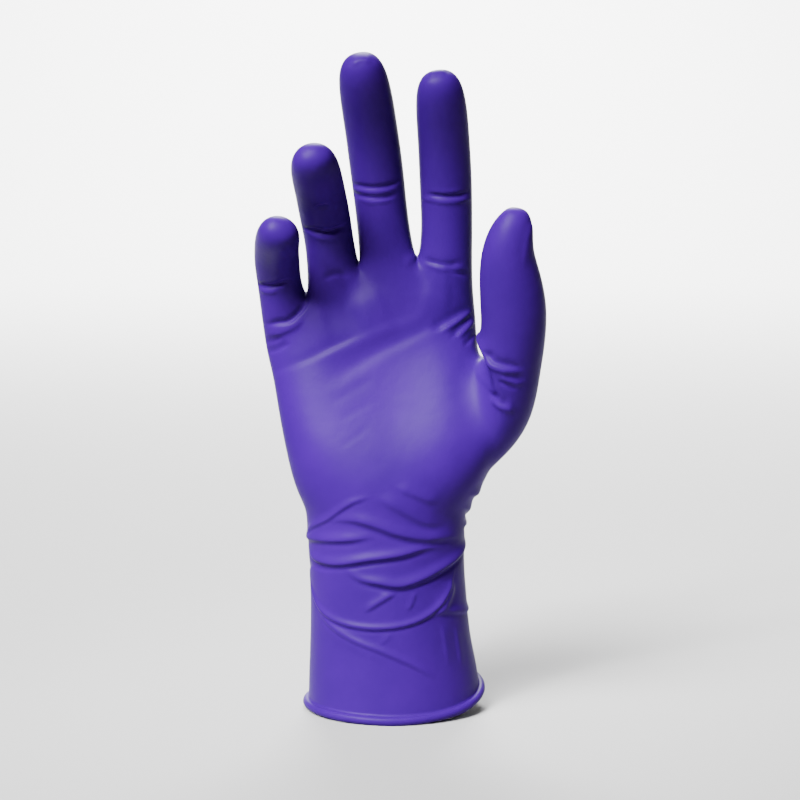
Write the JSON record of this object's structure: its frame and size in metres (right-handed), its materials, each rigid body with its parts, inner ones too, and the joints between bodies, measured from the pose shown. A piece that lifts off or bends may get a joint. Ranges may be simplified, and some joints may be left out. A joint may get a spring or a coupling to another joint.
{
  "type": "nitrile exam glove",
  "caption": "Violet-blue nitrile exam glove for the right hand, kept in its worn form with fingers up, with a long gathered sleeve and a rolled bead.",
  "frame": {"origin": "middle of the wrist opening, in the plane of the sleeve's hem", "axes": "+Z from the opening to the fingertips, -Y out of the palm, +X towards the thumb"},
  "size_m": [0.1158, 0.0673, 0.2638],
  "materials": {
    "nitrile_film": "satin, smooth dipped film"
  },
  "bodies": {
    "root": {"glove_film": "nitrile_film"}
  },
  "joints": []
}
